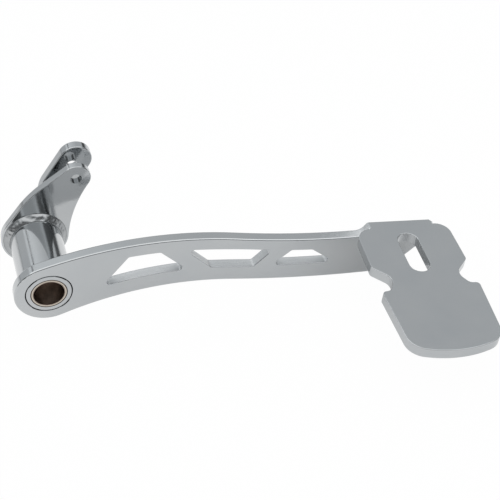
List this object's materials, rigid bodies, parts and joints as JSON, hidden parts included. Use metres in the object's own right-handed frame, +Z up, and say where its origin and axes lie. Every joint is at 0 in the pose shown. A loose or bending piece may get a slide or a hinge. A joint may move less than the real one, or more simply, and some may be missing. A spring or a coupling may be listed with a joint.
{
  "type": "rear brake pedal",
  "caption": "Chromed steel rear brake pedal with a pierced flat arm, a bushed pivot tube, a clevis for the brake rod and a slotted foot plate.",
  "frame": {"origin": "where the pivot axis leaves the outer face of the arm", "axes": "+X forward along the arm to the foot plate, +Y inboard along the pivot axis, +Z up"},
  "size_m": [0.2781, 0.1786, 0.0926],
  "materials": {
    "chrome_plate": "polished chrome plate",
    "weld_chrome": "chrome plate over rippled weld beads",
    "bush_bronze": "sintered bronze, machined"
  },
  "bodies": {
    "root": {"arm": "chrome_plate", "pivot_tube": "chrome_plate", "lever_plate": "chrome_plate", "bent_ear": "chrome_plate", "foot_plate": "chrome_plate", "lever_weld": "weld_chrome", "eye_weld": "weld_chrome", "ear_weld": "weld_chrome", "plate_weld": "weld_chrome", "front_bush": "bush_bronze", "rear_bush": "bush_bronze"}
  },
  "joints": []
}
